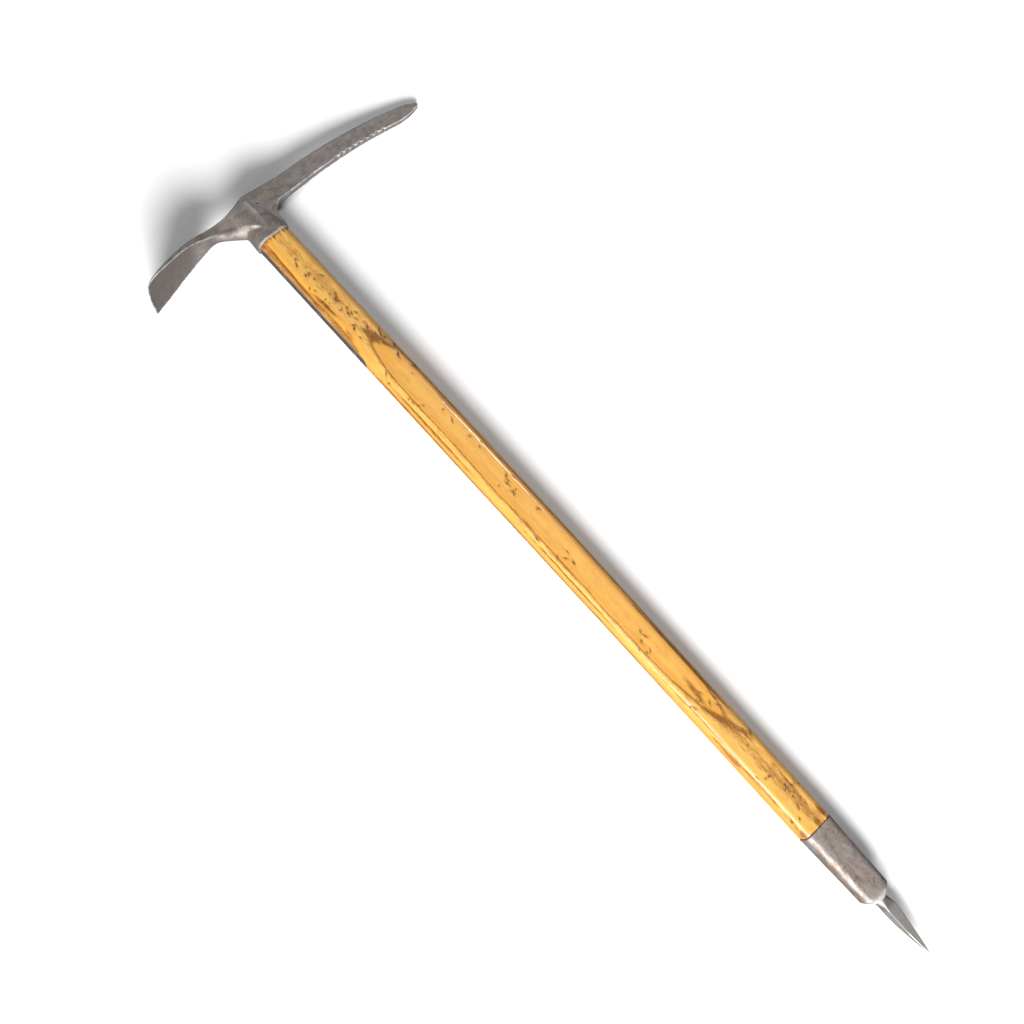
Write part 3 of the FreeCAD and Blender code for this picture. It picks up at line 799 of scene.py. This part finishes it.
def paint_everything(head, shaft, ferrule, spike):
    paint(head, worn_steel(
        "head_steel", colour=(0.265, 0.248, 0.242, 1.0), warm=(0.275, 0.235, 0.208, 1.0),
        dark=(0.105, 0.09, 0.084, 1.0), bright=(0.66, 0.63, 0.60, 1.0), metallic=0.78,
        roughness=0.60, patch=(7.0, 9.0, 8.0), grain=(1.6, 9.0, 1.6), edge_wear_and_painted_light=True))
    paint(shaft, ash_wood())
    paint(ferrule, worn_steel(
        "ferrule_steel", colour=(0.40, 0.36, 0.348, 1.0), warm=(0.36, 0.295, 0.255, 1.0),
        dark=(0.14, 0.10, 0.075, 1.0), bright=(0.50, 0.48, 0.46, 1.0), metallic=0.74,
        roughness=0.48, patch=(7.0, 3.5, 3.5), grain=(1.2, 6.0, 6.0), patina_depth=0.55,
        # painted highlight on the ferrule's end cone
        painted_highlight_band=(FERRULE_SHOULDER + 2.5, FERRULE_END + 6.0), veins=1.0))
    paint(spike, worn_steel(
        "spike_steel", colour=(0.48, 0.47, 0.455, 1.0), warm=(0.48, 0.445, 0.41, 1.0),
        dark=(0.22, 0.213, 0.20, 1.0), bright=(0.70, 0.69, 0.67, 1.0), metallic=0.78,
        roughness=0.40, patch=(9.0, 4.0, 4.0), grain=(9.0, 0.8, 0.8), edge_wear_and_painted_light=True))
    rivet_steel = worn_steel(
        "rivet_steel", colour=(0.34, 0.31, 0.29, 1.0), warm=(0.33, 0.28, 0.24, 1.0),
        dark=(0.12, 0.10, 0.085, 1.0), bright=(0.65, 0.62, 0.58, 1.0),
        roughness=0.32, patch=(2.5, 2.5, 2.5), grain=(1.0, 1.0, 1.0))
    for name in ("langet_rivet_1", "langet_rivet_2", "langet_rivet_3", "ferrule_pin"):
        node = frame["nodes"][name]
        for slot in node.material_slots:
            slot.material = rivet_steel


# ---------------------------------------------------------------------------------------------
# Floor, light and camera
# ---------------------------------------------------------------------------------------------

def make_floor():
    """A plain pale floor that metal doesn't mirror."""
    mesh = bpy.data.meshes.new("floor")
    half = 6.0
    corners = [(-half, -half, 0), (half, -half, 0), (half, half, 0), (-half, half, 0)]
    mesh.from_pydata(corners, [], [(0, 1, 2, 3)])
    floor = new_object("floor", mesh)
    s = Shader("pale_floor")
    s.set(Base_Color=(0.92, 0.92, 0.92, 1.0), Roughness=0.7, Specular_IOR_Level=0.2)
    mesh.materials.append(s.material)
    floor.visible_glossy = False


def area_light(name, target, towards, distance, size, watts):
    """A soft box that looks at target from the direction towards, in the tool's axes."""
    data = bpy.data.lights.new(name, "AREA")
    data.shape = "RECTANGLE"
    data.size, data.size_y = size
    data.energy = watts
    lamp = new_object(name, data)
    back = direction(towards)
    lamp.location = target + back * distance
    lamp.rotation_mode = "QUATERNION"
    lamp.rotation_quaternion = (-back).to_track_quat("-Z", "Y")


def make_light():
    """A soft sun from beyond the spike, a fill from the adze's side, a small lamp over the foot, a
    narrow window and a pale sky."""
    middle = TOOL @ Vector((400.0, 0.0, 0.0))
    sun = bpy.data.lights.new("sun", "SUN")
    sun.energy = 6.4
    sun.angle = math.radians(30.0)
    lamp = new_object("sun", sun)
    lamp.rotation_mode = "QUATERNION"
    lamp.rotation_quaternion = (-direction((0.95, -0.70, 0.52))).to_track_quat("-Z", "Y")
    area_light("fill", middle, (0.42, -0.80, 0.52), 1.4, (0.9, 0.7), 6.0)
    area_light("lamp", TOOL @ Vector((680.0, -8.0, 0.0)), (0.23, -0.67, 0.68), 0.7, (0.28, 0.28), 3.2)
    area_light("window", middle, (-0.19, 0.66, 0.73), 1.6, (0.26, 0.05), 8.0)

    world = bpy.data.worlds.new("studio")
    world.use_nodes = True
    nodes, links = world.node_tree.nodes, world.node_tree.links
    where = nodes.new("ShaderNodeTexCoord")
    split = nodes.new("ShaderNodeSeparateXYZ")
    ramp = nodes.new("ShaderNodeValToRGB")
    links.new(where.outputs["Generated"], split.inputs["Vector"])
    links.new(split.outputs["Z"], ramp.inputs["Fac"])
    stops = ((0.0, 0.08), (0.04, 0.17), (0.15, 0.13), (0.6, 0.08), (1.0, 0.10))
    elements = ramp.color_ramp.elements
    while len(elements) < len(stops):
        elements.new(0.5)
    for element, (height, grey) in zip(elements, stops):
        element.position = height
        element.color = (0.96 * grey, 0.99 * grey, 1.05 * grey, 1.0)
    links.new(ramp.outputs["Color"], nodes["Background"].inputs["Color"])
    bpy.context.scene.world = world


CAMERA_TARGET = Vector((355.1, -7.75, 0.0))
CAMERA_DISTANCE = 1000.0
CAMERA_LENS = 41.95
# How far the view leans off the broad side towards the adze and towards the spike, and how steeply
# the shaft runs down to the right in it
CAMERA_LEAN = math.radians(15.5)
CAMERA_TILT = math.radians(4.5)
SHAFT_SLOPE = math.radians(47.43)


def make_camera():
    """Looks down on the broad side, with the shaft running down to the right."""
    data = bpy.data.cameras.new("camera")
    data.sensor_width = 36.0
    data.lens = CAMERA_LENS
    camera = new_object("camera", data)
    out = Vector((math.sin(CAMERA_TILT), -math.sin(CAMERA_LEAN) * math.cos(CAMERA_TILT),
                  math.cos(CAMERA_LEAN) * math.cos(CAMERA_TILT)))
    along = (Vector((1.0, 0.0, 0.0)) - out * out.x).normalized()
    across = out.cross(along)
    right = direction(along * math.cos(SHAFT_SLOPE) + across * math.sin(SHAFT_SLOPE))
    back = direction(out)
    eye = TOOL @ (CAMERA_TARGET + out * CAMERA_DISTANCE)
    turn = Matrix((right, back.cross(right), back)).transposed()
    camera.matrix_world = Matrix.Translation(eye) @ turn.to_4x4()
    bpy.context.scene.camera = camera


def main():
    make_camera()
    head = make_head()
    shaft = make_shaft()
    ferrule = make_ferrule()
    spike = make_spike()
    paint_everything(head, shaft, ferrule, spike)
    for piece in (head, shaft, ferrule, spike):
        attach(piece, "root")
    make_floor()
    make_light()
    bpy.context.scene.view_settings.view_transform = "Standard"


main()
